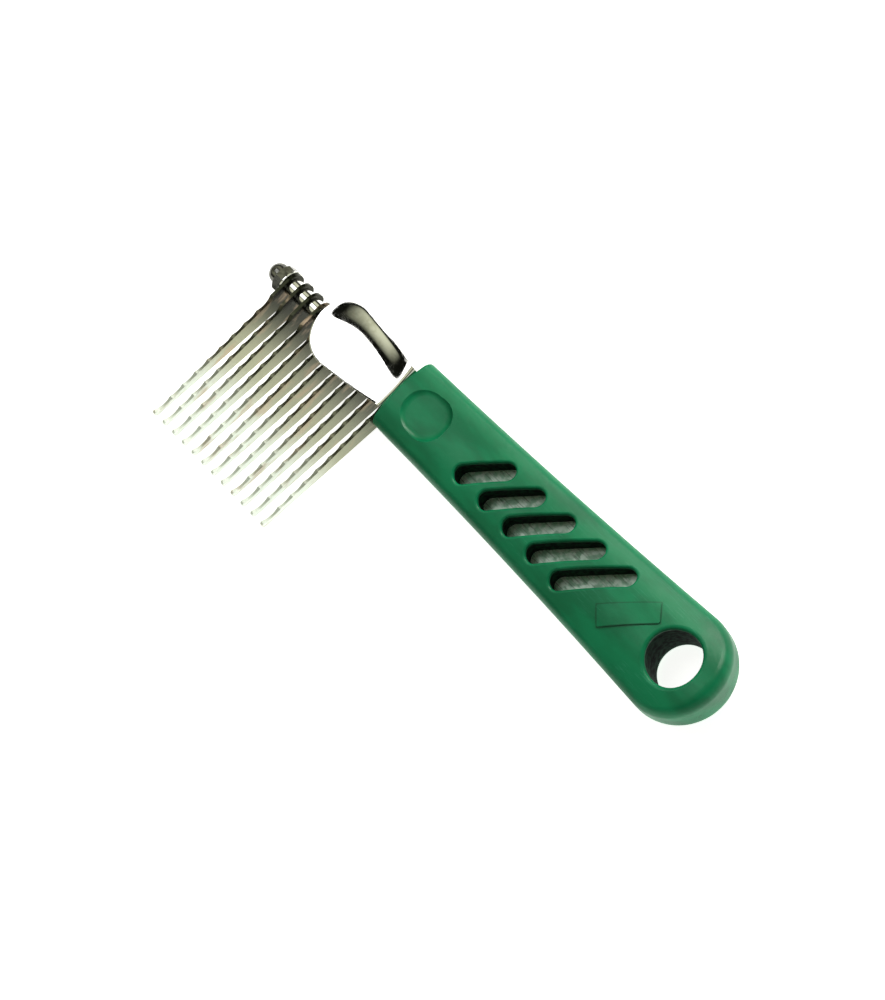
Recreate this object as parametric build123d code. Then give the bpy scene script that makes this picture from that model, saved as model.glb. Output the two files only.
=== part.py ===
"""Mat-splitting mane and coat comb: a moulded handle, a long spindle and a pack of serrated blades.

Frame: the origin is the centre of the hanging hole at half the handle's thickness. +X runs along the
handle to the blades, +Y points to the blade tips, and +Z stands out of the thumb side. Sizes are in mm.
"""
from build123d import *
import math
import os

# ------------------------------------------------------------------ handle
handle_length = 99.6          # hanging hole centre to the end face that carries the blades
handle_thickness = 14.4
butt_radius = 13.8            # round butt end
butt_setback = 0.5            # centre of the hanging hole to the centre of the butt, towards the blades
end_half_width = 10.2         # half the width at the end face
side_radius = 2000.0          # the long sides are hollow arcs of this radius
crown_radius = 24.0           # the thumb side is arched across by this radius, the back is flat
crown_edge_radius = 3.0       # rounding from the arched top into the sides
side_edge_radius = 4.8        # rounding from the flat back into the sides
end_edge_radius = 0.7         # rounding of the edges at the end face
hang_hole_radius = 6.9
hang_rim_radius = 0.9

# ------------------------------------------------------------------ grip slots, down to the tang from both faces
slot_count = 5
slot_pitch = 9.7
slot_first_x = 28.3
slot_width = 4.8
slot_angle = 45.0
slot_margin_butt = 4.15       # slot end to the handle's side, at the slot next to the butt
slot_margin_head = 4.65       # the same at the slot next to the thumb dish
slot_rim_radius = 0.6

# ------------------------------------------------------------------ tang: flat strip moulded into the handle
tang_thickness = 2.0
tang_width = 17.6
tang_start_x = 17.5
tang_setback = 8.5            # end of the strip to the handle's end face
tang_corner_radius = 4.0

# ------------------------------------------------------------------ blank raised pad between slots and hole
pad_x = 15.3
pad_length = 15.5
pad_width = 5.4
pad_height = 0.3
pad_corner_radius = 0.8

# ------------------------------------------------------------------ thumb dish pressed into the top face
dish_length = 14.6
dish_width = 13.6
dish_depth = 2.0              # at the end next to the slots
dish_rise = 1.45              # how much shallower the floor is at the other end
dish_setback = 2.9            # end face to the dish
dish_corner_radius = 6.4
dish_floor_radius = 2.4       # soft turn from the wall into the floor

# ------------------------------------------------------------------ spindle: a bolt moulded into the handle
spindle_radius = 2.0
spindle_head_flats = 7.0
spindle_head_height = 2.8
spindle_grip = 18.0           # shank length held inside the handle, from head to end face
spindle_end_chamfer = 0.4

# ------------------------------------------------------------------ thumb rest: pressed sheet, bent at its root
rest_sheet = 1.0
rest_length = 30.3            # back of the flange to the round tip
rest_tip_radius = 9.0
rest_neck_half_width = 6.2
rest_gap = 1.0                # blade heads to the underside of the sheet at its lowest point
rest_dish_radius = 21.0       # hollow across the rest
rest_sweep_radius = 160.0     # hollow along the rest
rest_low_point = 16.0         # root of the thumb rest to the lowest point of the hollow
rest_foot_radius = 5.2        # round foot of the bent flange, about the spindle
rest_bend_radius = 0.8

# ------------------------------------------------------------------ blades and spacers
blade_count = 12
blade_thickness = 0.9
blade_length = 47.0           # spindle axis to tip
blade_head_radius = 3.5
blade_tip_radius = 1.05
scallop_pitch = 4.3
scallop_depth = 0.4
scallop_land = 0.5            # flat left between two scallops
scallop_first = 8.6           # spindle axis to the first scallop's centre
scallop_bevel = 32.0          # grinding angle of the scallops, degrees from square
spacer_length = 3.05
spacer_wall = 0.45

# ------------------------------------------------------------------ end washer and cap nut
washer_radius = 4.0
washer_thickness = 0.5
nut_flats = 7.0
nut_hex_height = 2.5
nut_chamfer = 0.45
cap_wall = 0.7
cap_neck = 1.4                # straight part between the hexagon and the round cap
nut_bore_depth = 4.8
nut_rest_angle = 18.0         # how far past square the tightened nut has stopped

# ------------------------------------------------------------------ clearances
running_clearance = 0.05      # radial, spindle to blades, spacers, washer and thumb rest
thread_clearance = 0.05       # radial, spindle to cap nut
end_float = 0.05              # axial, each side of the blade pack
seat_clearance = 0.02         # axial, thumb rest to handle and washer to nut
tip_clearance = 0.2           # axial, spindle end to the bottom of the cap nut's bore

# ------------------------------------------------------------------ places along the spindle
half_thickness = handle_thickness / 2
flange_x = handle_length + seat_clearance
rest_low_x = flange_x + rest_low_point
stack_x = flange_x + rest_sheet + end_float
blade_pitch = blade_thickness + spacer_length
stack_length = blade_pitch * (blade_count - 1) + blade_thickness
washer_x = stack_x + stack_length + end_float
nut_x = washer_x + washer_thickness + seat_clearance
spindle_head_x = handle_length - spindle_grip
spindle_end_x = nut_x + nut_bore_depth - tip_clearance
running_radius = spindle_radius + running_clearance
nut_bore_radius = spindle_radius + thread_clearance
spacer_radius = running_radius + spacer_wall
cap_radius = nut_bore_radius + cap_wall
rest_height = blade_head_radius + rest_gap


def side_arc_centre():
    """Centre of the hollow side arc: it touches the butt circle and ends at the end face's corner."""
    reach = side_radius + butt_radius
    length = handle_length - butt_setback
    square = length * length + end_half_width * end_half_width
    along = (square + reach * reach - side_radius * side_radius) / (2 * square)
    across = math.sqrt(reach * reach / square - along * along)
    return (butt_setback + along * length - across * end_half_width, along * end_half_width + across * length)


side_centre = side_arc_centre()


def half_width(x):
    """Half the handle's width at x, on the hollow side arc."""
    run = x - side_centre[0]
    return side_centre[1] - math.sqrt(side_radius * side_radius - run * run)


def butt_point(angle):
    """Point of the butt circle at an angle from +X."""
    return (butt_setback + butt_radius * math.cos(angle), butt_radius * math.sin(angle))


def mirrored(edges):
    """The edges and their mirror images across the XZ plane."""
    return edges + [edge.mirror(Plane.XZ) for edge in edges]


def crown_bar(proud):
    """Round bar along X that arches the thumb side; proud raises it above the handle's own arch."""
    bar = extrude(Circle(crown_radius + proud), 2 * handle_length, both=True)
    return Pos(0, 0, half_thickness - crown_radius) * Rot(0, 90, 0) * bar


def rim_edges(face, end_x):
    """Edges round one face of the blank, without the one at its open end."""
    return face.edges().filter_by(lambda edge: edge.center().X < end_x - 0.01)


def handle_blank():
    """Handle without holes: the plan carried through the thickness, arched on top, with rounded edges."""
    overrun = 2 * side_edge_radius
    long_x = handle_length + overrun
    touch_angle = math.atan2(side_centre[1], side_centre[0] - butt_setback)
    touch = butt_point(touch_angle)
    middle_x = (touch[0] + long_x) / 2
    butt = ThreePointArc(butt_point(math.pi), butt_point((math.pi + touch_angle) / 2), touch)
    side = ThreePointArc(touch, (middle_x, half_width(middle_x)), (long_x, half_width(long_x)))
    end = Line((long_x, half_width(long_x)), (long_x, 0))
    plan = make_face(mirrored([butt, side, end]))
    blank = extrude(plan, half_thickness, both=True) & crown_bar(0)
    blank = fillet(rim_edges(blank.faces().sort_by(Axis.Z)[0], long_x), side_edge_radius)
    blank = fillet(rim_edges(blank.faces().sort_by(Axis.Z)[-1], long_x), crown_edge_radius)
    blank = split(blank, Plane.YZ.offset(handle_length), keep=Keep.BOTTOM)
    end_edges = blank.faces().sort_by(Axis.X)[-1].edges()
    return fillet(end_edges, end_edge_radius)


def slot_cutter(index):
    """One slanting grip slot, right through the moulding."""
    x = slot_first_x + index * slot_pitch
    share = index / (slot_count - 1)
    margin = slot_margin_butt + (slot_margin_head - slot_margin_butt) * share
    reach = (half_width(x) - margin - slot_width / 2) / math.sin(math.radians(slot_angle))
    plan = SlotOverall(2 * reach + slot_width, slot_width, rotation=slot_angle)
    return Pos(x, 0, 0) * extrude(plan, handle_thickness, both=True)


def dish_cutter():
    """Thumb dish: a block with a softly rounded floor that slopes up a little towards the end face."""
    slope = math.degrees(math.atan2(dish_rise, dish_length))
    deep_x = handle_length - dish_setback - dish_length
    block = extrude(RectangleRounded(dish_length, dish_width, dish_corner_radius), handle_thickness)
    floor_edges = block.faces().sort_by(Axis.Z)[0].edges()
    block = Pos(dish_length / 2, 0, 0) * fillet(floor_edges, dish_floor_radius)
    return Pos(deep_x, 0, half_thickness - dish_depth) * Rot(0, -slope, 0) * block


def blank_pad():
    """Plain raised pad, in line with the slots."""
    plan = Rot(0, 0, slot_angle) * RectangleRounded(pad_length, pad_width, pad_corner_radius)
    return Pos(pad_x, 0, 0) * extrude(plan, handle_thickness) & crown_bar(pad_height)


def hexagon(flats, height):
    """Hexagonal prism along +X from the origin, with two flats facing up and down."""
    side = RegularPolygon(flats / 2, 6, major_radius=False)
    return extrude(Plane.YZ * side, height)


def rod(radius, start, end):
    """Round bar along the spindle axis between two X positions."""
    return extrude(Plane.YZ.offset(start) * Circle(radius), end - start)


def spindle():
    """Long bolt: hexagonal head in the handle, plain shank, chamfered thread end."""
    shank = rod(spindle_radius, spindle_head_x, spindle_end_x)
    shank = chamfer(shank.faces().sort_by(Axis.X)[-1].edges(), spindle_end_chamfer)
    head = Pos(spindle_head_x - spindle_head_height, 0, 0) * hexagon(spindle_head_flats, spindle_head_height)
    return shank + head


def tang():
    """Flat strip inside the handle, notched for the spindle's head and shank, which it holds."""
    length = handle_length - tang_setback - tang_start_x
    plan = Pos(tang_start_x + length / 2, 0) * RectangleRounded(length, tang_width, tang_corner_radius)
    return extrude(plan, tang_thickness / 2, both=True) - spindle()


def handle():
    """Moulding around the tang and the spindle's head, with hanging hole, grip slots, dish and pad."""
    blank = handle_blank() + blank_pad()
    cutter = Cylinder(hang_hole_radius, 2 * handle_thickness)
    for index in range(slot_count):
        cutter = cutter + slot_cutter(index)
    body = blank - cutter
    rims = new_edges(blank, cutter, combined=body).filter_by(lambda edge: abs(edge.center().Z) > tang_thickness)
    hang_rims = rims.filter_by(lambda edge: edge.center().X < hang_hole_radius)
    slot_rims = rims.filter_by(lambda edge: edge.center().X > hang_hole_radius)
    body = fillet(slot_rims, slot_rim_radius)
    body = fillet(edges_near(body, hang_rims), hang_rim_radius)
    return body - dish_cutter() - tang() - spindle()


def edges_near(body, wanted):
    """The edges of body that lie where the wanted edges lay before an earlier step."""
    return [body.edges().sort_by_distance(edge.center())[0] for edge in wanted]


def hollow(radius):
    """Inside of the sheet's hollow: a circle across the rest, swung about an axis far above it."""
    low_z = rest_height + rest_sheet
    section = Plane((rest_low_x, 0, low_z + rest_dish_radius), x_dir=(0, 1, 0), z_dir=(1, 0, 0)) * Circle(radius)
    swing = Axis((rest_low_x, 0, low_z + rest_sweep_radius), (0, 1, 0))
    spread = math.degrees(3 * rest_length / rest_sweep_radius)
    return revolve(section, swing, spread).rotate(swing, -spread / 2)


def thumb_rest():
    """Hollowed leaf of sheet on a bent flange that the spindle passes through."""
    tip_x = flange_x + rest_length - rest_tip_radius
    neck = Pos(flange_x + rest_sheet / 2, 0) * Rectangle(rest_sheet, 2 * rest_neck_half_width)
    plan = make_hull(neck.edges() + (Pos(tip_x, 0) * Circle(rest_tip_radius)).edges())
    above = hollow(rest_dish_radius)
    leaf = extrude(plan, 2 * rest_dish_radius) & (hollow(rest_dish_radius + rest_sheet) - above)
    shoulder = Pos(0, rest_height) * Rectangle(2 * rest_neck_half_width, rest_sheet)
    web = make_hull(Circle(rest_foot_radius).edges() + shoulder.edges())
    collar = Rectangle(2 * rest_neck_half_width, rest_dish_radius, align=(Align.CENTER, Align.MIN))
    flange = extrude(Plane.YZ.offset(flange_x) * (web + Pos(0, rest_height) * collar), rest_sheet) - above
    rest = leaf + flange
    bend = rest.edges().filter_by(lambda edge: edge.center().X < flange_x + 0.01)
    bend = bend.filter_by(lambda edge: edge.center().Z > rest_height and abs(edge.center().Y) < 0.01)
    rest = fillet(bend, rest_bend_radius)
    return rest - rod(running_radius, handle_length, flange_x + 2 * rest_sheet)


def blade():
    """One blade in its own plane: a head and a tip circle joined by their tangents, scalloped on one edge."""
    tip_y = blade_length - blade_tip_radius
    tip_z = blade_head_radius - blade_tip_radius
    head = Circle(blade_head_radius)
    tip = Pos(tip_y, tip_z) * Circle(blade_tip_radius)
    outline = make_hull(head.edges() + tip.edges())
    plate = extrude(Plane.YZ * outline, blade_thickness)
    chord = scallop_pitch - scallop_land
    scallop_radius = (chord * chord / 4 + scallop_depth * scallop_depth) / (2 * scallop_depth)
    count = int((tip_y - blade_tip_radius - scallop_first) / scallop_pitch) + 1
    wheel = Rot(0, 90 - scallop_bevel, 0) * Cylinder(scallop_radius, 8 * blade_thickness)
    wheel_z = blade_head_radius - scallop_depth + scallop_radius
    for index in range(count):
        plate = plate - Pos(blade_thickness, scallop_first + index * scallop_pitch, wheel_z) * wheel
    return plate - rod(running_radius, -blade_thickness, 2 * blade_thickness)


def spacer():
    """Plain tube that holds two blades apart."""
    return rod(spacer_radius, 0, spacer_length) - rod(running_radius, -spacer_length, 2 * spacer_length)


def end_washer():
    """Small flat washer under the cap nut."""
    return rod(washer_radius, 0, washer_thickness) - rod(running_radius, -washer_thickness, 2 * washer_thickness)


def cap_nut():
    """Hexagon with chamfered corners and a round closed cap, bored from the washer side."""
    corner_radius = nut_flats / math.sqrt(3)
    envelope = rod(corner_radius, 0, nut_hex_height)
    envelope = chamfer(envelope.edges().filter_by(GeomType.CIRCLE), nut_chamfer)
    dome_x = nut_hex_height + cap_neck
    neck = rod(cap_radius, 0, dome_x)
    dome = Pos(dome_x, 0, 0) * Sphere(cap_radius)
    nut = Rot(nut_rest_angle, 0, 0) * hexagon(nut_flats, nut_hex_height)
    body = (nut & envelope) + neck + (dome - rod(nut_flats, -nut_flats, 0))
    return body - rod(nut_bore_radius, -nut_hex_height, nut_bore_depth)


def parts():
    """Every piece in its place, by node name."""
    pieces = {"handle": handle(), "tang": tang(), "spindle": spindle(), "thumb_rest": thumb_rest()}
    plain_blade = blade()
    plain_spacer = spacer()
    for index in range(blade_count):
        blade_x = stack_x + index * blade_pitch
        pieces[f"blade_{index + 1:02d}"] = Pos(blade_x, 0, 0) * plain_blade
        if index < blade_count - 1:
            pieces[f"spacer_{index + 1:02d}"] = Pos(blade_x + blade_thickness, 0, 0) * plain_spacer
    pieces["end_washer"] = Pos(washer_x, 0, 0) * end_washer()
    pieces["cap_nut"] = Pos(nut_x, 0, 0) * cap_nut()
    return pieces


os.makedirs("parts", exist_ok=True)
for node, shape in parts().items():
    export_step(shape, f"parts/{node}.step")
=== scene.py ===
"""Looks of a mat-splitting mane comb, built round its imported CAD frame.

Lengths are in metres. +X runs along the handle to the blades, +Y to the blade tips and +Z out of the
thumb side; the origin is the centre of the hanging hole.
"""
import logging
import math
from dataclasses import dataclass
from enum import Enum

import bmesh
import bpy
import numpy as np
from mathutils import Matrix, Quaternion, Vector


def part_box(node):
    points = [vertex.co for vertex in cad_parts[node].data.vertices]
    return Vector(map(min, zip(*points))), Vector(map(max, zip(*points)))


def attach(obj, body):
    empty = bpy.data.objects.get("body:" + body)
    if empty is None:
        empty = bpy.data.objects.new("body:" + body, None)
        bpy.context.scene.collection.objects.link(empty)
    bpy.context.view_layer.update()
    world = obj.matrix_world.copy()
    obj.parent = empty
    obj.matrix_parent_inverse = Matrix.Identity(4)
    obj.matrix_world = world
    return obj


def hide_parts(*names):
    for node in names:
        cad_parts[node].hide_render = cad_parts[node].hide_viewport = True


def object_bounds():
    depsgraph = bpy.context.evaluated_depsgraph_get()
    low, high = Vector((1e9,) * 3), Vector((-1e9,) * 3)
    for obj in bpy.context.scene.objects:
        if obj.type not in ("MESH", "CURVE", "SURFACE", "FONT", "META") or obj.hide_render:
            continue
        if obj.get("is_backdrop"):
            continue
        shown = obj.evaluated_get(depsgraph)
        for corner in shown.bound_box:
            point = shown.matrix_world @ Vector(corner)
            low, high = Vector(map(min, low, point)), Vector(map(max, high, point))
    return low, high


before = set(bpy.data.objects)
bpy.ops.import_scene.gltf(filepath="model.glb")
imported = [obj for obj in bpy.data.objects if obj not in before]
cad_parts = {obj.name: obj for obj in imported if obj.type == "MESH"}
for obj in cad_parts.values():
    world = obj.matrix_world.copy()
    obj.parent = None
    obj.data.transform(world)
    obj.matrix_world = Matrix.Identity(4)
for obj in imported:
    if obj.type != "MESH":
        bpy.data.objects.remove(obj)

LOG = logging.getLogger("mane_comb")
MM = 0.001
BLADE_COUNT = 12
SPACER_COUNT = 11
WELD_DISTANCE = 1e-7     # points closer than this are one point
OCTAVE_GAIN = 0.55       # strength of each octave of noise over the one before
FADE_IN = (0.0, 1.0)
FADE_OUT = (1.0, 0.0)


class Body(Enum):
    """The rigid groups of the comb that new pieces ride on."""

    HANDLE = "handle_frame"
    BLADES = "blade_pack"
    WASHER = "washer_body"


class Slot(Enum):
    """Names of two of the record's material slots; nothing here gives them to a piece."""

    POLISHED = "polished_steel"
    PLATED = "plated_steel"


class Lay(Enum):
    """Direction in which the marks of grinding, rolling or buffing run."""

    ALONG_X = (1.0, 0.0, 0.0)
    ALONG_Y = (0.0, 1.0, 0.0)


# ---------------------------------------------------------------------------------------- node trees


def linear(code: str) -> tuple[float, float, float, float]:
    """Turns an sRGB hex colour into linear RGBA.

    Args:
        code: colour as "#rrggbb".

    Returns:
        The linear red, green and blue, and an alpha of 1.
    """
    shares = np.array([int(code[start:start + 2], 16) / 255 for start in (1, 3, 5)])
    values = np.where(shares <= 0.04045, shares / 12.92, ((shares + 0.055) / 1.055) ** 2.4)
    return (*values.tolist(), 1.0)


def add_node(tree: bpy.types.NodeTree, kind: str, settings: dict | None = None,
             inputs: dict | None = None) -> bpy.types.Node:
    """Adds a node with its settings, values and links.

    Args:
        tree: tree that gets the node.
        kind: the node's class, such as "ShaderNodeTexNoise".
        settings: the node's attributes by name.
        inputs: by socket name or number, an output socket to link or a value to set.

    Returns:
        The new node.
    """
    node = tree.nodes.new(kind)
    for name, value in (settings or {}).items():
        setattr(node, name, value)
    for key, value in (inputs or {}).items():
        if isinstance(value, bpy.types.NodeSocket):
            tree.links.new(value, node.inputs[key])
        else:
            node.inputs[key].default_value = value
    return node


@dataclass(frozen=True)
class Finish:
    """What every finish of the comb shares: its tree, its patterns and its relief."""

    def open_tree(self, name: str) -> tuple[bpy.types.Material, bpy.types.NodeTree, bpy.types.NodeSocket]:
        """Starts an empty material.

        Args:
            name: the material's name.

        Returns:
            The material, its node tree and the socket that holds the place on the piece in metres.
        """
        material = bpy.data.materials.new(name)
        material.use_nodes = True
        tree = material.node_tree
        tree.nodes.clear()
        place = add_node(tree, "ShaderNodeTexCoord").outputs["Object"]
        return material, tree, place

    def grain(self, tree: bpy.types.NodeTree, place: bpy.types.NodeSocket, size: float,
              lay: Lay | None = None, stretch: float = 1.0, detail: float = 3.0) -> bpy.types.NodeSocket:
        """Noise with a real grain size.

        Args:
            tree: tree of the material.
            place: place on the piece in metres.
            size: width of one grain in metres.
            lay: direction that the grain is drawn out along, if any.
            stretch: length of a grain over its width.
            detail: octaves of finer grain on top.

        Returns:
            The noise, about 0.3 to 0.7.
        """
        axis = lay.value if lay else (0.0, 0.0, 0.0)
        scale = [(1 / stretch if share else 1.0) / size for share in axis]
        scaled = add_node(tree, "ShaderNodeMapping", inputs={"Vector": place, "Scale": scale})
        noise = add_node(tree, "ShaderNodeTexNoise", inputs={
            "Vector": scaled.outputs[0], "Scale": 1.0, "Detail": detail, "Roughness": OCTAVE_GAIN})
        return noise.outputs[0]

    def span(self, tree: bpy.types.NodeTree, value: bpy.types.NodeSocket, source: tuple[float, float],
             target: tuple[float, float]) -> bpy.types.NodeSocket:
        """Maps a range smoothly onto another one and holds its ends.

        Args:
            tree: tree of the material.
            value: the value to map.
            source: its lowest and highest value.
            target: what those two become.

        Returns:
            The mapped value.
        """
        node = add_node(tree, "ShaderNodeMapRange", {"interpolation_type": "SMOOTHSTEP"}, {
            "Value": value, "From Min": source[0], "From Max": source[1],
            "To Min": target[0], "To Max": target[1]})
        return node.outputs[0]

    def blend(self, tree: bpy.types.NodeTree, share: bpy.types.NodeSocket,
              first: bpy.types.NodeSocket | tuple, second: bpy.types.NodeSocket | tuple
              ) -> bpy.types.NodeSocket:
        """Mixes two colours.

        Args:
            tree: tree of the material.
            share: how much of the second colour shows.
            first: colour or socket shown at 0.
            second: colour or socket shown at 1.

        Returns:
            The mixed colour.
        """
        node = add_node(tree, "ShaderNodeMix", {"data_type": "RGBA"}, {0: share, 6: first, 7: second})
        return node.outputs[2]

    def relief(self, tree: bpy.types.NodeTree, heights: list[tuple[bpy.types.NodeSocket, float]]
               ) -> bpy.types.NodeSocket:
        """Stacks height patterns into one surface normal.

        Args:
            tree: tree of the material.
            heights: pairs of a height from 0 to 1 and the depth in metres that it stands for.

        Returns:
            The surface normal.
        """
        inputs: dict = {}
        for height, depth in heights:
            bump = add_node(tree, "ShaderNodeBump", inputs={
                **inputs, "Height": height, "Distance": depth, "Strength": 1.0})
            inputs = {"Normal": bump.outputs[0]}
        return inputs["Normal"]

    def close_tree(self, tree: bpy.types.NodeTree, inputs: dict) -> None:
        """Ends the tree in a Principled shader with those inputs."""
        shader = add_node(tree, "ShaderNodeBsdfPrincipled", inputs=inputs)
        add_node(tree, "ShaderNodeOutputMaterial", inputs={"Surface": shader.outputs[0]})


# ------------------------------------------------------------------------------------------- finishes


@dataclass(frozen=True)
class MouldedPlastic(Finish):
    """Injection-moulded polypropylene, dark green and dyed through.

    The polished mould gives it a gloss, the shrinking of the thick wall a faint orange peel, and the
    resin's flow cloudy streaks along the handle. Hands leave it hazy, with fine scuffs. The slots and
    the hanging hole keep the dull skin of the mould's cores. Painted shade darkens them deep down, and
    the foot of the raised pad too.
    """

    colour: str = "#078254"
    deep_colour: str = "#036c44"
    # painted shade: near-black green laid deep in the slots and the hole and along the pad's foot
    recess_shade_colour: str = "#010d07"
    scuff_colour: str = "#3f9c78"
    flow_size: float = 7 * MM
    flow_stretch: float = 3.0
    flow_window: tuple[float, float] = (0.35, 0.65)
    peel_size: float = 1.3 * MM
    peel_depth: float = 0.035 * MM
    pore_size: float = 0.22 * MM
    pore_depth: float = 0.004 * MM
    scuff_size: float = 0.16 * MM
    scuff_stretch: float = 30.0
    scuff_window: tuple[float, float] = (0.58, 0.7)
    scuff_depth: float = 0.004 * MM
    wear_window: tuple[float, float] = (0.5, 0.62)
    wear_share: float = 0.55
    haze_window: tuple[float, float] = (0.35, 0.65)
    line_half_width: float = 0.07 * MM
    line_height: float = 0.05 * MM
    roughness: tuple[float, float] = (0.36, 0.46)
    specular_level: float = 0.24
    slots_x: tuple[float, float] = (20 * MM, 76 * MM)
    slots_half_width: float = 10.4 * MM
    slots_taper: float = 0.037
    hole_radius: float = 7.15 * MM
    arch_radius: float = 24 * MM
    top_cover: float = 6.2 * MM
    # depth below the face over which the painted shade sets in, and how patchy it is
    shade_depth: tuple[float, float] = (0.5 * MM, 1.6 * MM)
    shade_window: tuple[float, float] = (0.3, 0.7)
    shade_cover: tuple[float, float] = (0.85, 1.0)
    pad_x: float = 15.3 * MM
    pad_half_size: tuple[float, float] = (7.75 * MM, 2.7 * MM)
    pad_angle: float = 45.0
    pad_line: float = 0.35 * MM
    # strength of the painted shade along the pad's foot
    pad_foot_shade: float = 0.5

    def recess_shade(self, tree: bpy.types.NodeTree, place: bpy.types.NodeSocket) -> bpy.types.NodeSocket:
        """Share of painted shade: 1 deep in the slots and the hole and at the pad's foot, 0 on the faces and
        sides.

        The slots lie inside a strip that narrows with X, the hole inside a circle about Z. The depth is
        taken below the arched top, or above the flat back. The pad's foot is where the larger of the two
        distances from its slanting middle, each less the pad's half size, comes close to 0.

        Args:
            tree: tree of the material.
            place: place on the handle in metres.

        Returns:
            The share.
        """
        def calc(operation: str, *values: bpy.types.NodeSocket | float) -> bpy.types.NodeSocket:
            """Returns one step of arithmetic."""
            step = add_node(tree, "ShaderNodeMath", {"operation": operation}, dict(enumerate(values)))
            return step.outputs[0]

        along, across, height = add_node(tree, "ShaderNodeSeparateXYZ", inputs={0: place}).outputs
        spread = calc("MULTIPLY_ADD", along, self.slots_taper, calc("ABSOLUTE", across))
        square = calc("MULTIPLY", across, across)
        in_strip = calc("MULTIPLY", calc("LESS_THAN", spread, self.slots_half_width),
                        calc("MULTIPLY", calc("GREATER_THAN", along, self.slots_x[0]),
                             calc("LESS_THAN", along, self.slots_x[1])))
        from_hole = calc("SQRT", calc("MULTIPLY_ADD", along, along, square))
        in_hole = calc("LESS_THAN", from_hole, self.hole_radius)
        top = calc("MULTIPLY_ADD", square, -0.5 / self.arch_radius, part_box("tang")[1][2] + self.top_cover)
        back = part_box("handle")[0][2]
        below = calc("MINIMUM", calc("SUBTRACT", top, height), calc("SUBTRACT", height, back))
        deep = calc("MULTIPLY", calc("MAXIMUM", in_strip, in_hole),
                    self.span(tree, below, self.shade_depth, FADE_IN))
        slant = add_node(tree, "ShaderNodeVectorRotate", {"rotation_type": "Z_AXIS"}, {
            "Vector": place, "Center": (self.pad_x, 0, 0), "Angle": -math.radians(self.pad_angle)})
        long_way, short_way, _ = add_node(tree, "ShaderNodeSeparateXYZ", inputs={0: slant.outputs[0]}).outputs
        outside = calc("MAXIMUM",
                       calc("SUBTRACT", calc("ABSOLUTE", calc("SUBTRACT", long_way, self.pad_x)),
                            self.pad_half_size[0]),
                       calc("SUBTRACT", calc("ABSOLUTE", short_way), self.pad_half_size[1]))
        foot = self.span(tree, calc("ABSOLUTE", outside), (0.0, self.pad_line), (self.pad_foot_shade, 0.0))
        return calc("MAXIMUM", deep, calc("MULTIPLY", foot, calc("GREATER_THAN", height, 0.0)))

    def build(self) -> bpy.types.Material:
        """Returns the finished material."""
        material, tree, place = self.open_tree("injection_moulded_polypropylene")
        flow = self.grain(tree, place, self.flow_size, Lay.ALONG_X, self.flow_stretch)
        peel = self.grain(tree, place, self.peel_size, detail=1.0)
        pores = self.grain(tree, place, self.pore_size)
        scuffs = self.grain(tree, place, self.scuff_size, Lay.ALONG_X, self.scuff_stretch)
        worn = self.grain(tree, place, 2 * self.flow_size)
        scuffed = add_node(tree, "ShaderNodeMath", {"operation": "MULTIPLY"}, {
            0: self.span(tree, scuffs, self.scuff_window, FADE_IN),
            1: self.span(tree, worn, self.wear_window, (0.0, self.wear_share))}).outputs[0]
        base = self.blend(tree, self.span(tree, flow, self.flow_window, FADE_IN),
                          linear(self.deep_colour), linear(self.colour))
        clean = self.blend(tree, scuffed, base, linear(self.scuff_colour))
        # painted shade in the slots, the hole and along the pad's foot, which also makes them matt
        recess_shade = self.recess_shade(tree, place)
        patchy = self.span(tree, peel, self.shade_window, self.shade_cover)
        shade_share = add_node(tree, "ShaderNodeMath", {"operation": "MULTIPLY"}, {
            0: recess_shade, 1: patchy}).outputs[0]
        colour = self.blend(tree, shade_share, clean, linear(self.recess_shade_colour))
        height = add_node(tree, "ShaderNodeSeparateXYZ", inputs={0: place}).outputs[2]
        side = add_node(tree, "ShaderNodeMath", {"operation": "ABSOLUTE"}, {0: height}).outputs[0]
        parting = self.span(tree, side, (0.0, self.line_half_width), FADE_OUT)
        normal = self.relief(tree, [(peel, self.peel_depth), (pores, self.pore_depth),
                                    (scuffed, self.scuff_depth), (parting, self.line_height)])
        polished = self.span(tree, worn, self.haze_window, self.roughness)
        roughness = add_node(tree, "ShaderNodeMath", {"operation": "MAXIMUM"}, {
            0: polished, 1: shade_share}).outputs[0]
        self.close_tree(tree, {"Base Color": colour, "Roughness": roughness, "Normal": normal,
                               "Specular IOR Level": self.specular_level})
        return material


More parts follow.
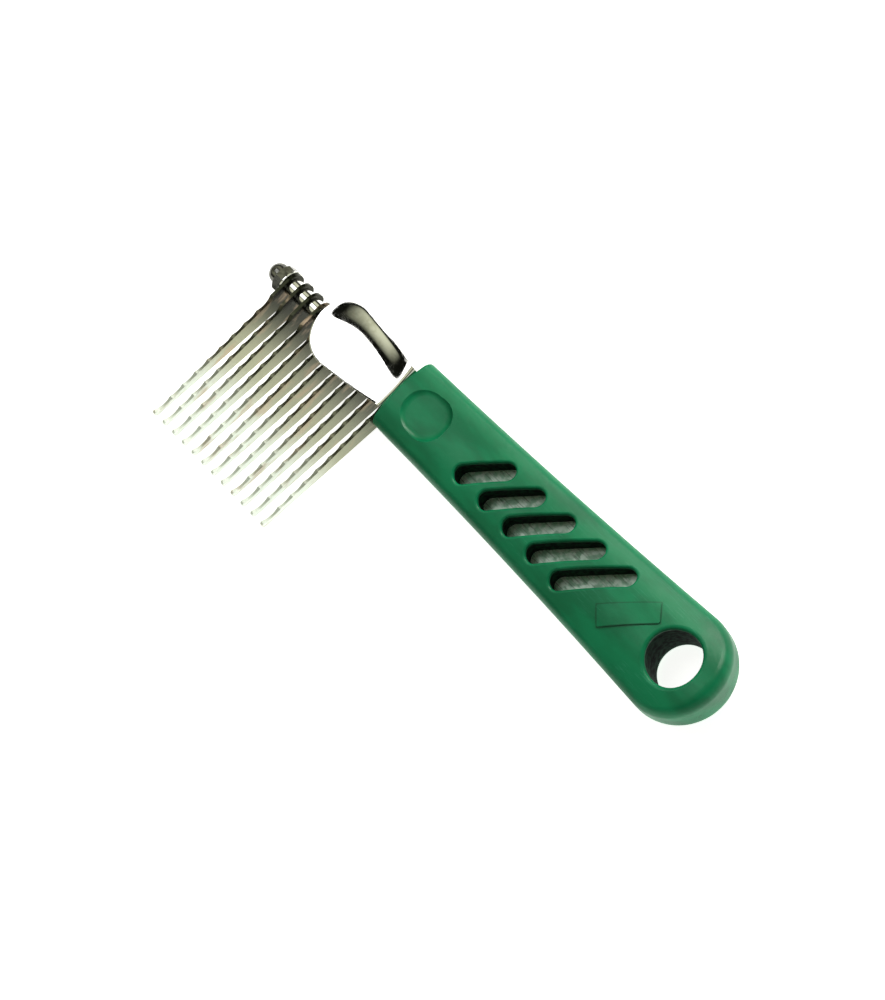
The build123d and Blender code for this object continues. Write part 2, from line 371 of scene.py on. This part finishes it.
@dataclass(frozen=True)
class GroundBladeSteel(Finish):
    """Stainless blade steel, ground lengthwise.

    Grinding leaves fine lines along the blade, with tan stains here and there. Painted shade darkens the
    root, where the blades shade each other, a painted highlight whitens the tip, and hair scuffs the tip to a
    satin.
    """

    # painted shade where neighbouring blades shade the root
    root_shade_colour: str = "#222419"
    middle_colour: str = "#9b9d84"
    # painted highlight: the tip is whitened to stand for the bright floor that it reflects
    tip_highlight_colour: str = "#e6ede6"
    stain_colour: str = "#b09a80"
    root_y: float = 3 * MM
    tip_y: float = 38 * MM
    line_size: float = 0.2 * MM
    line_stretch: float = 40.0
    line_window: tuple[float, float] = (0.3, 0.7)
    line_share: float = 0.3
    line_depth: float = 0.012 * MM
    stain_size: float = 5 * MM
    stain_stretch: float = 2.0
    stain_window: tuple[float, float] = (0.52, 0.68)
    stain_share: float = 0.6
    stain_depth: float = 0.02 * MM
    roughness: tuple[float, float] = (0.2, 0.55)

    def build(self) -> bpy.types.Material:
        """Returns the finished material."""
        material, tree, place = self.open_tree("ground_stainless_blade_steel")
        lines = self.grain(tree, place, self.line_size, Lay.ALONG_Y, self.line_stretch)
        stains = self.grain(tree, place, self.stain_size, Lay.ALONG_Y, self.stain_stretch)
        reach = add_node(tree, "ShaderNodeSeparateXYZ", inputs={0: place}).outputs[1]
        middle_y = (self.root_y + self.tip_y) / 2
        # painted shade at the root blends through the middle tone into the painted highlight at the tip
        lower = self.blend(tree, self.span(tree, reach, (self.root_y, middle_y), FADE_IN),
                           linear(self.root_shade_colour), linear(self.middle_colour))
        tone = self.blend(tree, self.span(tree, reach, (middle_y, self.tip_y), FADE_IN),
                          lower, linear(self.tip_highlight_colour))
        stained = self.blend(tree, self.span(tree, stains, self.stain_window, (0.0, self.stain_share)),
                             tone, linear(self.stain_colour))
        colour = self.blend(tree, self.span(tree, lines, self.line_window, (0.0, self.line_share)),
                            stained, lower)
        normal = self.relief(tree, [(lines, self.line_depth), (stains, self.stain_depth)])
        satin = self.span(tree, reach, (middle_y, self.tip_y), self.roughness)
        self.close_tree(tree, {"Base Color": colour, "Metallic": 1.0, "Normal": normal,
                               "Roughness": satin})
        return material


@dataclass(frozen=True)
class BuffedSteel(Finish):
    """Stainless steel buffed to a mirror.

    The mop leaves hair lines too fine to see one by one, drawn here coarser than they are, and touch
    leaves soft smudges that blur the mirror a little.
    """

    name: str
    lay: Lay
    colour: str = "#f2f2ee"
    dull_colour: str = "#d8d8d0"
    roughness: tuple[float, float] = (0.03, 0.09)
    line_size: float = 0.12 * MM
    line_stretch: float = 60.0
    line_detail: float = 2.0
    smudge_size: float = 4 * MM
    smudge_window: tuple[float, float] = (0.45, 0.7)
    haze_window: tuple[float, float] = (0.4, 0.7)
    wave_depth: float = 0.004 * MM

    def build(self) -> bpy.types.Material:
        """Returns the finished material."""
        material, tree, place = self.open_tree(self.name)
        lines = self.grain(tree, place, self.line_size, self.lay, self.line_stretch, self.line_detail)
        smudges = self.grain(tree, place, self.smudge_size)
        marks = self.span(tree, smudges, self.smudge_window, FADE_IN)
        colour = self.blend(tree, marks, linear(self.colour), linear(self.dull_colour))
        normal = self.relief(tree, [(lines, self.wave_depth / 4), (smudges, self.wave_depth)])
        self.close_tree(tree, {"Base Color": colour, "Metallic": 1.0, "Normal": normal,
                               "Roughness": self.span(tree, smudges, self.haze_window, self.roughness)})
        return material


@dataclass(frozen=True)
class BrightPlating(Finish):
    """Bright zinc and nickel plating on turned steel.

    Plating fills the turning marks but keeps a fine pitting, and it greys in soft clouds.
    """

    colour: str = "#75756f"
    grey_colour: str = "#2b2b28"
    pit_size: float = 0.3 * MM
    pit_depth: float = 0.006 * MM
    pit_window: tuple[float, float] = (0.35, 0.65)
    cloud_size: float = 1.8 * MM
    cloud_window: tuple[float, float] = (0.4, 0.65)
    cloud_share: float = 0.7
    roughness: tuple[float, float] = (0.1, 0.22)

    def build(self) -> bpy.types.Material:
        """Returns the finished material."""
        material, tree, place = self.open_tree("bright_plated_steel")
        pits = self.grain(tree, place, self.pit_size)
        clouds = self.grain(tree, place, self.cloud_size)
        colour = self.blend(tree, self.span(tree, clouds, self.cloud_window, (0.0, self.cloud_share)),
                            linear(self.colour), linear(self.grey_colour))
        normal = self.relief(tree, [(pits, self.pit_depth)])
        self.close_tree(tree, {"Base Color": colour, "Metallic": 1.0, "Normal": normal,
                               "Roughness": self.span(tree, pits, self.pit_window, self.roughness)})
        return material


@dataclass(frozen=True)
class RolledStrip(Finish):
    """Mill-rolled steel strip with a painted green cast.

    Rolling leaves lines along the strip; pale and green blotches are painted on it as a reflection of
    the green slot walls.
    """

    colour: str = "#c0d8c7"
    # painted reflection: the green of the slot walls, laid on the steel
    green_cast_colour: str = "#5ba884"
    dark_colour: str = "#4c5a50"
    line_size: float = 0.35 * MM
    line_stretch: float = 14.0
    line_window: tuple[float, float] = (0.5, 0.7)
    line_share: float = 0.55
    line_depth: float = 0.02 * MM
    blotch_size: float = 1.5 * MM
    blotch_detail: float = 5.0
    green_cast_window: tuple[float, float] = (0.42, 0.6)
    green_cast_share: float = 0.5
    blotch_depth: float = 0.06 * MM
    metallic: float = 0.35
    dull_window: tuple[float, float] = (0.35, 0.65)
    roughness: tuple[float, float] = (0.35, 0.6)

    def build(self) -> bpy.types.Material:
        """Returns the finished material."""
        material, tree, place = self.open_tree("rolled_steel_strip")
        lines = self.grain(tree, place, self.line_size, Lay.ALONG_X, self.line_stretch)
        blotches = self.grain(tree, place, self.blotch_size, detail=self.blotch_detail)
        # pale steel with blotches of painted green reflection
        green_cast = self.blend(tree, self.span(tree, blotches, self.green_cast_window, (0.0, self.green_cast_share)),
                            linear(self.colour), linear(self.green_cast_colour))
        colour = self.blend(tree, self.span(tree, lines, self.line_window, (0.0, self.line_share)),
                            green_cast, linear(self.dark_colour))
        normal = self.relief(tree, [(lines, self.line_depth), (blotches, self.blotch_depth)])
        self.close_tree(tree, {
            "Base Color": colour, "Metallic": self.metallic, "Normal": normal,
            "Roughness": self.span(tree, blotches, self.dull_window, self.roughness)})
        return material


@dataclass(frozen=True)
class StudioPaper(Finish):
    """White backdrop board, lit through from below so that shadows stay faint."""

    colour: str = "#f4f4f2"
    fibre_size: float = 1.2 * MM
    fibre_window: tuple[float, float] = (0.3, 0.7)
    fibre_depth: float = 0.01 * MM
    roughness: tuple[float, float] = (0.8, 0.95)
    specular_level: float = 0.1
    glow: float = 1.0

    def build(self) -> bpy.types.Material:
        """Returns the finished material."""
        material, tree, place = self.open_tree("studio_board")
        fibres = self.grain(tree, place, self.fibre_size)
        self.close_tree(tree, {
            "Base Color": linear(self.colour),
            "Roughness": self.span(tree, fibres, self.fibre_window, self.roughness),
            "Normal": self.relief(tree, [(fibres, self.fibre_depth)]),
            "Specular IOR Level": self.specular_level,
            "Emission Color": linear(self.colour), "Emission Strength": self.glow})
        return material


@dataclass(frozen=True)
class Finishes:
    """One built material for each of the comb's finishes."""

    plastic: bpy.types.Material
    strip: bpy.types.Material
    sheet: bpy.types.Material
    turned: bpy.types.Material
    plated: bpy.types.Material
    blade: bpy.types.Material

    @classmethod
    def made(cls) -> "Finishes":
        """Returns the comb's materials."""
        return cls(
            plastic=MouldedPlastic().build(),
            strip=RolledStrip().build(),
            sheet=BuffedSteel("buffed_stainless_sheet", Lay.ALONG_X).build(),
            turned=BuffedSteel("turned_stainless_tube", Lay.ALONG_Y, roughness=(0.06, 0.14)).build(),
            plated=BrightPlating().build(),
            blade=GroundBladeSteel().build(),
        )


# --------------------------------------------------------------------------------------------- meshes


def grid_faces(rows: int, columns: int, closed_rows: bool = False) -> np.ndarray:
    """Quads of a grid of points that is stored row after row and closed across its columns.

    Point (i, j) is joined to (i, j + 1), (i + 1, j + 1) and (i + 1, j), counted round.

    Args:
        rows: number of rows.
        columns: number of points in a row.
        closed_rows: whether the last row is joined to the first.

    Returns:
        The four point numbers of every face.
    """
    steps = rows if closed_rows else rows - 1
    row, column = np.meshgrid(np.arange(steps), np.arange(columns), indexing="ij")
    next_row, next_column = (row + 1) % rows, (column + 1) % columns
    corners = [row * columns + column, row * columns + next_column,
               next_row * columns + next_column, next_row * columns + column]
    return np.stack(corners, axis=-1).reshape(-1, 4)


def surface_object(name: str, points: np.ndarray, faces: np.ndarray, crease_degrees: float = 30.0
                   ) -> bpy.types.Object:
    """Makes an object from points and quads, welds its poles and shades it.

    Args:
        name: the piece's name.
        points: point places, any shape that ends in 3.
        faces: four point numbers a face.
        crease_degrees: edges that turn more than this stay sharp.

    Returns:
        The new object, at the origin.
    """
    mesh = bpy.data.meshes.new(name)
    flat = points.reshape(-1, 3)
    mesh.vertices.add(len(flat))
    mesh.vertices.foreach_set("co", flat.astype(np.float32).ravel())
    mesh.loops.add(faces.size)
    mesh.loops.foreach_set("vertex_index", faces.astype(np.int32).ravel())
    mesh.polygons.add(len(faces))
    mesh.polygons.foreach_set("loop_start", np.arange(0, faces.size, 4, dtype=np.int32))
    mesh.update(calc_edges=True)
    work = bmesh.new()
    work.from_mesh(mesh)
    bmesh.ops.remove_doubles(work, verts=work.verts, dist=WELD_DISTANCE)
    bmesh.ops.recalc_face_normals(work, faces=work.faces)
    work.to_mesh(mesh)
    work.free()
    mesh.shade_smooth()
    mesh.set_sharp_from_angle(angle=math.radians(crease_degrees))
    piece = bpy.data.objects.new(name, mesh)
    bpy.context.scene.collection.objects.link(piece)
    return piece


def turned(name: str, profile: np.ndarray, columns: int = 64) -> bpy.types.Object:
    """A ring turned about the spindle axis.

    A point of the closed profile, at distance r from the X axis, goes round it: at angle q it lies at
    (x, r cos q, r sin q).

    Args:
        name: the piece's name.
        profile: rows of x and r, in order round the ring's section.
        columns: points round the axis.

    Returns:
        The new object.
    """
    angle = np.linspace(0, 2 * math.pi, columns, endpoint=False)
    along = np.broadcast_to(profile[:, :1], (len(profile), columns))
    points = np.stack([along, profile[:, 1:] * np.cos(angle), profile[:, 1:] * np.sin(angle)], axis=-1)
    return surface_object(name, points, grid_faces(len(profile), columns, closed_rows=True))


def ring_profile(start: float, end: float, bore: float, radius: float, chamfer: float, inner_chamfer: float
                 ) -> np.ndarray:
    """Section of a ring: a rectangle whose four corners are cut at 45 degrees.

    Args:
        start: lowest X.
        end: highest X.
        bore: inner radius.
        radius: outer radius.
        chamfer: cut at the outer corners.
        inner_chamfer: cut at the bore's corners.

    Returns:
        Rows of x and r.
    """
    return np.array([
        (start, bore + inner_chamfer), (start, radius - chamfer), (start + chamfer, radius),
        (end - chamfer, radius), (end, radius - chamfer), (end, bore + inner_chamfer),
        (end - inner_chamfer, bore), (start + inner_chamfer, bore)])


def dress_node(node: str, material: bpy.types.Material) -> None:
    """Gives a CAD node its finish."""
    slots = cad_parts[node].data.materials
    slots.clear()
    slots.append(material)
    LOG.info("dressed %s", node)


def place_piece(piece: bpy.types.Object, material: bpy.types.Material, body: Body,
                node: str) -> None:
    """Dresses a new piece and puts it in the place of a CAD node.

    Args:
        piece: the new piece.
        material: its finish.
        body: the rigid group that it moves with.
        node: the CAD node that it stands for.
    """
    piece.data.materials.append(material)
    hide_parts(node)
    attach(piece, body.value)
    LOG.info("built %s: %d faces", piece.name, len(piece.data.polygons))


# ------------------------------------------------------------------------------------- sub-assemblies


@dataclass
class Handle:
    """The green moulding and the steel strip that shows at the bottom of its grip slots."""

    finishes: Finishes

    def build(self) -> None:
        """Dresses the moulding and the strip."""
        dress_node("handle", self.finishes.plastic)
        dress_node("tang", self.finishes.strip)


@dataclass
class Spindle:
    """The long bolt: hexagonal head in the handle, plain shank and a cut thread under the cap nut."""

    finishes: Finishes
    radius: float = 2.0 * MM
    head_height: float = 2.8 * MM
    head_chamfer: float = 0.3 * MM
    head_edge: float = 0.1 * MM
    head_slope: float = 2 / 3
    end_chamfer: float = 0.4 * MM
    thread_pitch: float = 0.7 * MM
    thread_depth: float = 0.38 * MM
    thread_length: float = 9.0 * MM
    steps_per_turn: int = 14
    columns: int = 60
    crease_degrees: float = 35.0

    def stations(self, start: float, end: float) -> tuple[np.ndarray, np.ndarray, np.ndarray]:
        """Rows of the bolt's surface from its head to its end.

        Args:
            start: X of the head's top.
            end: X of the thread's end.

        Returns:
            X of every row, how far it is hexagonal (1) or round (0), and how open it is (0 at a pole).
        """
        shoulder = start + self.head_height
        thread_start = end - self.thread_length
        turns = int(self.thread_length / self.thread_pitch * self.steps_per_turn)
        head = [start, start, start + self.head_chamfer, shoulder]
        shank = [shoulder, thread_start - self.thread_pitch]
        along = np.concatenate([head, shank, np.linspace(thread_start, end, turns), [end]])
        hexagonal = np.where(np.arange(len(along)) < len(head), 1.0, 0.0)
        opened = np.ones(len(along))
        opened[[0, -1]] = 0.0
        return along, hexagonal, opened

    def surface(self, start: float, end: float, flats: float) -> np.ndarray:
        """Points of the bolt.

        At angle q the head reaches half its width over flats divided by the cosine of the angle to the
        nearest flat, and a cone that opens at the head's slope cuts its corners. The thread is the bolt's
        radius less a triangle wave whose phase is x over the pitch minus q over a full turn, so its crest
        climbs one pitch a turn. Both ends are cut back as cones.

        Args:
            start: X of the head's top.
            end: X of the thread's end.
            flats: width of the head over its flats.

        Returns:
            Rows by columns by 3.
        """
        along, hexagonal, opened = (values[:, None] for values in self.stations(start, end))
        angle = np.linspace(0, 2 * math.pi, self.columns, endpoint=False)[None, :]
        off_flat = np.mod(angle - math.pi / 3, math.pi / 3) - math.pi / 6
        cut_corner = flats / 2 + (along - start) * self.head_slope + self.head_edge
        head = np.minimum(flats / 2 / np.cos(off_flat), cut_corner)
        phase = np.mod(along / self.thread_pitch - angle / (2 * math.pi), 1.0)
        cut = np.clip((along - (end - self.thread_length)) / self.thread_pitch, 0.0, 1.0)
        thread = self.radius - self.thread_depth * cut * (1 - np.abs(2 * phase - 1))
        cone = self.radius - self.end_chamfer + (end - along)
        radius = opened * (hexagonal * head + (1 - hexagonal) * np.minimum(thread, cone))
        return np.stack(np.broadcast_arrays(along, radius * np.cos(angle), radius * np.sin(angle)), axis=-1)

    def build(self) -> None:
        """Builds the bolt in the place of its CAD node."""
        low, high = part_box("spindle")
        points = self.surface(low[0], high[0], high[2] - low[2])
        piece = surface_object("spindle_bolt", points, grid_faces(*points.shape[:2]), self.crease_degrees)
        place_piece(piece, self.finishes.plated, Body.HANDLE, "spindle")


@dataclass
class ThumbRest:
    """The buffed leaf: a pear-shaped blank, bent up at its root and pressed into a trough with one wall.

    It is worked out as it is made. A point of the flat blank is a along the sheet from the bore and b
    across; folding and pressing move it into place.
    """

    finishes: Finishes
    sheet: float = 1.0 * MM
    bore_radius: float = 2.05 * MM
    foot_radius: float = 5.15 * MM
    tip_radius: float = 8.9 * MM
    side_bulge: float = 0.35 * MM
    bend_radius: float = 0.95 * MM
    floor_height: float = 4.8 * MM
    sweep_radius: float = 200 * MM
    low_point: float = 16 * MM
    wall_line: float = -2.9 * MM
    wall_middle: float = 17.0 * MM
    line_curves: tuple[float, float] = (14.0, 31.0)
    wall_turn: float = 1.25 * MM
    wall_slope: float = 0.31
    wall_fade: float = 0.38
    wall_crest: float = 15.5 * MM
    wall_reach: float = 12.5 * MM
    rim_slope: float = 0.19
    rim_width: float = 0.75 * MM
    rim_turn: float = 0.12 * MM
    rim_fade: float = 4 * MM
    columns: int = 280
    rows: int = 150
    crowding: float = 1.5
    tip_points: int = 60
    foot_points: int = 40
    side_points: int = 40
    crease_degrees: float = 60.0
    soft_edge: float = 0.22 * MM
    soft_segments: int = 2
    soft_degrees: float = 75.0

    def outline(self, length: float) -> np.ndarray:
        """Rim of the flat blank: a foot circle and a tip circle joined by their slightly bulging tangents.

        Args:
            length: distance from the bore to the centre of the tip circle.

        Returns:
            Evenly spaced rim points, as rows of a and b, once round.
        """
        tilt = math.asin((self.tip_radius - self.foot_radius) / length)
        tip_angle = np.linspace(0, math.pi / 2 + tilt, self.tip_points)
        foot_angle = np.linspace(math.pi / 2 + tilt, math.pi, self.foot_points)
        tip = self.tip_radius * np.stack([np.cos(tip_angle), np.sin(tip_angle)], 1) + (length, 0)
        foot = self.foot_radius * np.stack([np.cos(foot_angle), np.sin(foot_angle)], 1)
        share = np.linspace(0, 1, self.side_points)[1:-1, None]
        side = tip[-1] + share * (foot[0] - tip[-1])
        side = side + np.array([0, 1]) * self.side_bulge * np.sin(math.pi * share)
        half = np.concatenate([tip, side, foot])
        rim = np.concatenate([half, half[-2::-1] * (1, -1)])
        run = np.concatenate([[0], np.cumsum(np.hypot(*np.diff(rim, axis=0).T))])
        even = np.linspace(0, run[-1], self.columns, endpoint=False)
        return np.stack([np.interp(even, run, rim[:, 0]), np.interp(even, run, rim[:, 1])], axis=1)

    def pressed_height(self, along: np.ndarray, across: np.ndarray, from_rim: np.ndarray) -> np.ndarray:
        """How far pressing lifts the leaf above the long arc of its floor.

        Beyond a line that runs close to the middle and turns outwards at both ends, the sheet climbs,
        eased in as a soft plus, at a slope that falls off as the square of the way to either end. In a
        narrow band along the rim it turns over: up to a gentler slope on the wall, down on the other side.

        Args:
            along: distance from the handle.
            across: place across the leaf.
            from_rim: distance from the rim.

        Returns:
            Height above the floor.
        """
        run = along - self.wall_middle
        line = self.wall_line + np.where(run < 0, *self.line_curves) * run ** 2
        ramp = self.wall_turn * np.logaddexp(0, (line - across) / self.wall_turn)
        ends = ((along - self.wall_crest) / self.wall_reach) ** 2
        slope = self.wall_slope * (1 - self.wall_fade * ends)
        band = self.rim_turn * np.logaddexp(0, (self.rim_width - from_rim) / self.rim_turn)
        turned_down = self.rim_slope * np.clip(across / self.rim_fade, 0, 1)
        flattened = np.maximum(slope - self.rim_slope, 0) * np.clip(-across / self.rim_fade, 0, 1)
        return slope * ramp - band * (turned_down + flattened)

    def rim_distance(self, blank: np.ndarray, rim: np.ndarray) -> np.ndarray:
        """Distance of every point of the blank from its rim.

        A point is projected on each straight piece of the rim, no farther than its ends, and the nearest
        of those projections counts.

        Args:
            blank: rows by columns by 2.
            rim: rim points once round, as rows of 2.

        Returns:
            Rows by columns.
        """
        piece = np.roll(rim, -1, axis=0) - rim
        distance = []
        for row in blank:
            offset = row[:, None] - rim
            share = np.clip((offset * piece).sum(axis=-1) / (piece * piece).sum(axis=-1), 0, 1)
            distance.append(np.linalg.norm(offset - share[..., None] * piece, axis=-1).min(axis=1))
        return np.array(distance)

    def surface(self, root: float, tip: float) -> np.ndarray:
        """Middle of the sheet from the bore out to the rim.

        A point lies on the straight line from the bore to the rim point in the same direction, a power of
        the row's share along it, so that rows crowd where the sheet is bent. Folding keeps a up to the
        bend, turns it round a quarter circle and carries the rest along X. The lift of the pressing
        fades out down the flange, so that it stays flat.

        Args:
            root: X of the flange's face against the handle.
            tip: X of the leaf's tip.

        Returns:
            Rows by columns by 3.
        """
        flange_x = self.sheet / 2
        bend_x = flange_x + self.bend_radius
        root_rise = self.floor_height + (self.low_point - bend_x) ** 2 / (2 * self.sweep_radius)
        bend_start = root_rise - self.bend_radius
        bend_end = bend_start + self.bend_radius * math.pi / 2
        length = tip - root - bend_x + bend_end - self.tip_radius
        rim = self.outline(length)
        inner = self.bore_radius * rim / np.hypot(rim[:, :1], rim[:, 1:])
        share = np.linspace(0, 1, self.rows)[:, None, None] ** self.crowding
        blank = inner + share * (rim - inner)
        a, across = blank[..., 0], blank[..., 1]
        turn = np.clip((a - bend_start) / self.bend_radius, 0, math.pi / 2)
        beyond = np.maximum(a - bend_end, 0)
        along = flange_x + self.bend_radius * (1 - np.cos(turn)) + beyond
        height = np.minimum(a, bend_start) + self.bend_radius * np.sin(turn)
        floor = self.floor_height - root_rise + (along - self.low_point) ** 2 / (2 * self.sweep_radius)
        from_rim = self.rim_distance(blank, rim)
        lift = np.clip(a / bend_start, 0, 1) ** 2
        pressed = self.pressed_height(np.maximum(along, bend_x), across, from_rim)
        height = height + np.where(beyond > 0, floor, 0.0) + lift * pressed
        return np.stack([root + along, across, height], axis=-1)

    def build(self) -> None:
        """Builds the leaf in the place of its CAD node and gives the sheet its thickness and soft edges."""
        low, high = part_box("thumb_rest")
        points = self.surface(low[0], high[0])
        piece = surface_object("thumb_rest_leaf", points, grid_faces(*points.shape[:2]), self.crease_degrees)
        wall = piece.modifiers.new("sheet", "SOLIDIFY")
        wall.thickness = self.sheet
        wall.offset = 0.0
        soft = piece.modifiers.new("edge", "BEVEL")
        soft.width = self.soft_edge
        soft.segments = self.soft_segments
        soft.limit_method = "ANGLE"
        soft.angle_limit = math.radians(self.soft_degrees)
        place_piece(piece, self.finishes.sheet, Body.HANDLE, "thumb_rest")


@dataclass
class BladePack:
    """Twelve ground blades and the eleven turned tubes that space them."""

    finishes: Finishes
    bore_radius: float = 2.05 * MM
    chamfer: float = 0.12 * MM
    inner_chamfer: float = 0.05 * MM

    def build(self) -> None:
        """Dresses the blades and builds the tubes in the places of their CAD nodes."""
        for number in range(1, BLADE_COUNT + 1):
            dress_node(f"blade_{number:02d}", self.finishes.blade)
        for number in range(1, SPACER_COUNT + 1):
            node = f"spacer_{number:02d}"
            low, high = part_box(node)
            profile = ring_profile(low[0], high[0], self.bore_radius, high[2],
                                   self.chamfer, self.inner_chamfer)
            piece = turned(f"spacer_tube_{number:02d}", profile)
            place_piece(piece, self.finishes.turned, Body.BLADES, node)


@dataclass
class EndFastening:
    """The stamped washer and the cap nut that hold the blade pack."""

    finishes: Finishes
    bore_radius: float = 2.05 * MM
    rolled_edge: float = 0.14 * MM
    inner_chamfer: float = 0.05 * MM
    columns: int = 96

    def build(self) -> None:
        """Builds the washer in the place of its CAD node and dresses the nut."""
        low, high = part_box("end_washer")
        profile = ring_profile(low[0], high[0], self.bore_radius, high[2],
                               self.rolled_edge, self.inner_chamfer)
        washer = turned("stamped_washer", profile, self.columns)
        place_piece(washer, self.finishes.turned, Body.WASHER, "end_washer")
        dress_node("cap_nut", self.finishes.plated)


# ---------------------------------------------------------------------------------------------- studio


@dataclass
class Studio:
    """Camera, softboxes, surroundings and floor."""

    aim: tuple[float, float, float] = (0.07294, 0.01144, 0.0)
    distance: float = 0.80043
    azimuth: float = 267.5
    elevation: float = 64.08
    roll: float = -42.4
    lens: float = 120.0
    sensor_width: float = 36.0
    near_clip: float = 0.01
    floor_size: float = 6.0
    top_angles: tuple[float, float] = (90.0, 64.0)
    top_distance: float = 1.6
    top_size: float = 0.98
    top_radiance: float = 2.5
    top_colour: str = "#ffffff"
    key_angles: tuple[float, float] = (12.0, 38.0)
    key_distance: float = 1.7
    key_size: float = 0.6
    key_radiance: float = 25.0
    key_colour: str = "#fffdf6"
    flag_angles: tuple[float, float] = (22.0, 27.0)
    flag_colour: str = "#0d0e0a"
    rim_colour: str = "#dcdec2"
    glow_cosine: float = 0.68
    glow_colour: str = "#d2d2b8"
    belt_cosines: tuple[float, float] = (0.38, 0.56)
    belt_colour: str = "#1c1c18"
    room_cosine: float = 0.28
    room_colour: str = "#e4e6dc"
    backdrop_colour: str = "#f6f6f4"
    matt_share: float = 0.28

    def direction(self, azimuth: float, elevation: float) -> Vector:
        """Unit vector towards a viewer at that azimuth (0 looks along +Y) and elevation, in degrees."""
        turn, rise = math.radians(azimuth), math.radians(elevation)
        return Vector((math.sin(turn) * math.cos(rise), -math.cos(turn) * math.cos(rise), math.sin(rise)))

    def camera(self) -> None:
        """Adds the camera and makes it the scene's own."""
        back = self.direction(self.azimuth, self.elevation)
        camera = bpy.data.objects.new("camera", bpy.data.cameras.new("camera"))
        bpy.context.scene.collection.objects.link(camera)
        camera.rotation_mode = "QUATERNION"
        roll = Quaternion((0, 0, 1), math.radians(self.roll))
        camera.rotation_quaternion = back.to_track_quat("Z", "Y") @ roll
        camera.location = Vector(self.aim) + self.distance * back
        camera.data.lens = self.lens
        camera.data.sensor_width = self.sensor_width
        camera.data.clip_start = self.near_clip
        bpy.context.scene.camera = camera

    def softbox(self, name: str, azimuth: float, elevation: float, distance: float, size: float,
                radiance: float, colour: str) -> None:
        """Adds a round softbox that faces the comb.

        Args:
            name: the light's name.
            azimuth: where it stands, as for the camera.
            elevation: how high it stands, in degrees.
            distance: metres from the comb.
            size: diameter in metres.
            radiance: brightness of its face.
            colour: sRGB hex colour.
        """
        light = bpy.data.lights.new(name, "AREA")
        light.shape = "DISK"
        light.size = size
        light.energy = radiance * math.pi * math.pi * size * size / 4
        light.color = linear(colour)[:3]
        box = bpy.data.objects.new(name, light)
        bpy.context.scene.collection.objects.link(box)
        towards = self.direction(azimuth, elevation)
        box.location = Vector(self.aim) + distance * towards
        box.rotation_mode = "QUATERNION"
        box.rotation_quaternion = towards.to_track_quat("Z", "Y")
        box.visible_camera = False

    def surroundings(self) -> None:
        """Sets the room: pale beige, with black flags that frame the top softbox and a dark belt farther out.

        The colour follows the cosine of the angle to the softbox. Matt surfaces get less of the room
        than mirrors do, as behind flags, and the room behind the comb is plain white.
        """
        world = bpy.data.worlds.new("studio_room")
        world.use_nodes = True
        tree = world.node_tree
        tree.nodes.clear()
        place = add_node(tree, "ShaderNodeTexCoord").outputs["Generated"]
        towards = self.direction(*self.top_angles)
        cosine = add_node(tree, "ShaderNodeVectorMath", {"operation": "DOT_PRODUCT"}, {
            0: place, 1: towards}).outputs["Value"]
        ramp = add_node(tree, "ShaderNodeValToRGB", inputs={0: cosine})
        edge, rim = (math.cos(math.radians(angle)) for angle in self.flag_angles)
        stops = [(self.room_cosine, self.room_colour), (self.belt_cosines[0], self.belt_colour),
                 (self.belt_cosines[1], self.belt_colour), (self.glow_cosine, self.glow_colour),
                 (rim, self.rim_colour), (edge, self.flag_colour), (1.0, self.flag_colour)]
        band = ramp.color_ramp
        while len(band.elements) < len(stops):
            band.elements.new(0.5)
        for element, (position, code) in zip(band.elements, stops):
            element.position = position
            element.color = linear(code)
        rays = add_node(tree, "ShaderNodeLightPath").outputs
        strength = add_node(tree, "ShaderNodeMapRange", inputs={
            "Value": rays["Is Diffuse Ray"], "To Min": 1.0, "To Max": self.matt_share}).outputs[0]
        room = add_node(tree, "ShaderNodeBackground", inputs={
            "Color": ramp.outputs[0], "Strength": strength})
        plain = add_node(tree, "ShaderNodeBackground", inputs={
            "Color": linear(self.backdrop_colour), "Strength": 1.0})
        seen = add_node(tree, "ShaderNodeMixShader", inputs={
            0: rays["Is Camera Ray"], 1: room.outputs[0], 2: plain.outputs[0]})
        add_node(tree, "ShaderNodeOutputWorld", inputs={"Surface": seen.outputs[0]})
        bpy.context.scene.world = world

    def floor(self) -> None:
        """Adds the board that the comb lies on."""
        half = self.floor_size / 2
        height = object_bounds()[0][2]
        mesh = bpy.data.meshes.new("floor")
        corners = [(-half, -half, height), (half, -half, height),
                   (half, half, height), (-half, half, height)]
        mesh.from_pydata(corners, [], [(0, 1, 2, 3)])
        floor = bpy.data.objects.new("floor", mesh)
        bpy.context.scene.collection.objects.link(floor)
        floor.data.materials.append(StudioPaper().build())
        floor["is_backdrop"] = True

    def build(self) -> None:
        """Builds the whole set."""
        self.camera()
        self.softbox("top_softbox", *self.top_angles, self.top_distance, self.top_size,
                     self.top_radiance, self.top_colour)
        self.softbox("key_softbox", *self.key_angles, self.key_distance, self.key_size,
                     self.key_radiance, self.key_colour)
        self.surroundings()
        self.floor()
        bpy.context.scene.view_settings.view_transform = "Standard"


def main() -> None:
    """Builds the comb and its studio in order."""
    logging.basicConfig(level=logging.INFO, format="%(name)s: %(message)s")
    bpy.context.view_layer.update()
    finishes = Finishes.made()
    for assembly in (Handle, Spindle, ThumbRest, BladePack, EndFastening):
        assembly(finishes).build()
    Studio().build()


if __name__ == "__main__":
    main()
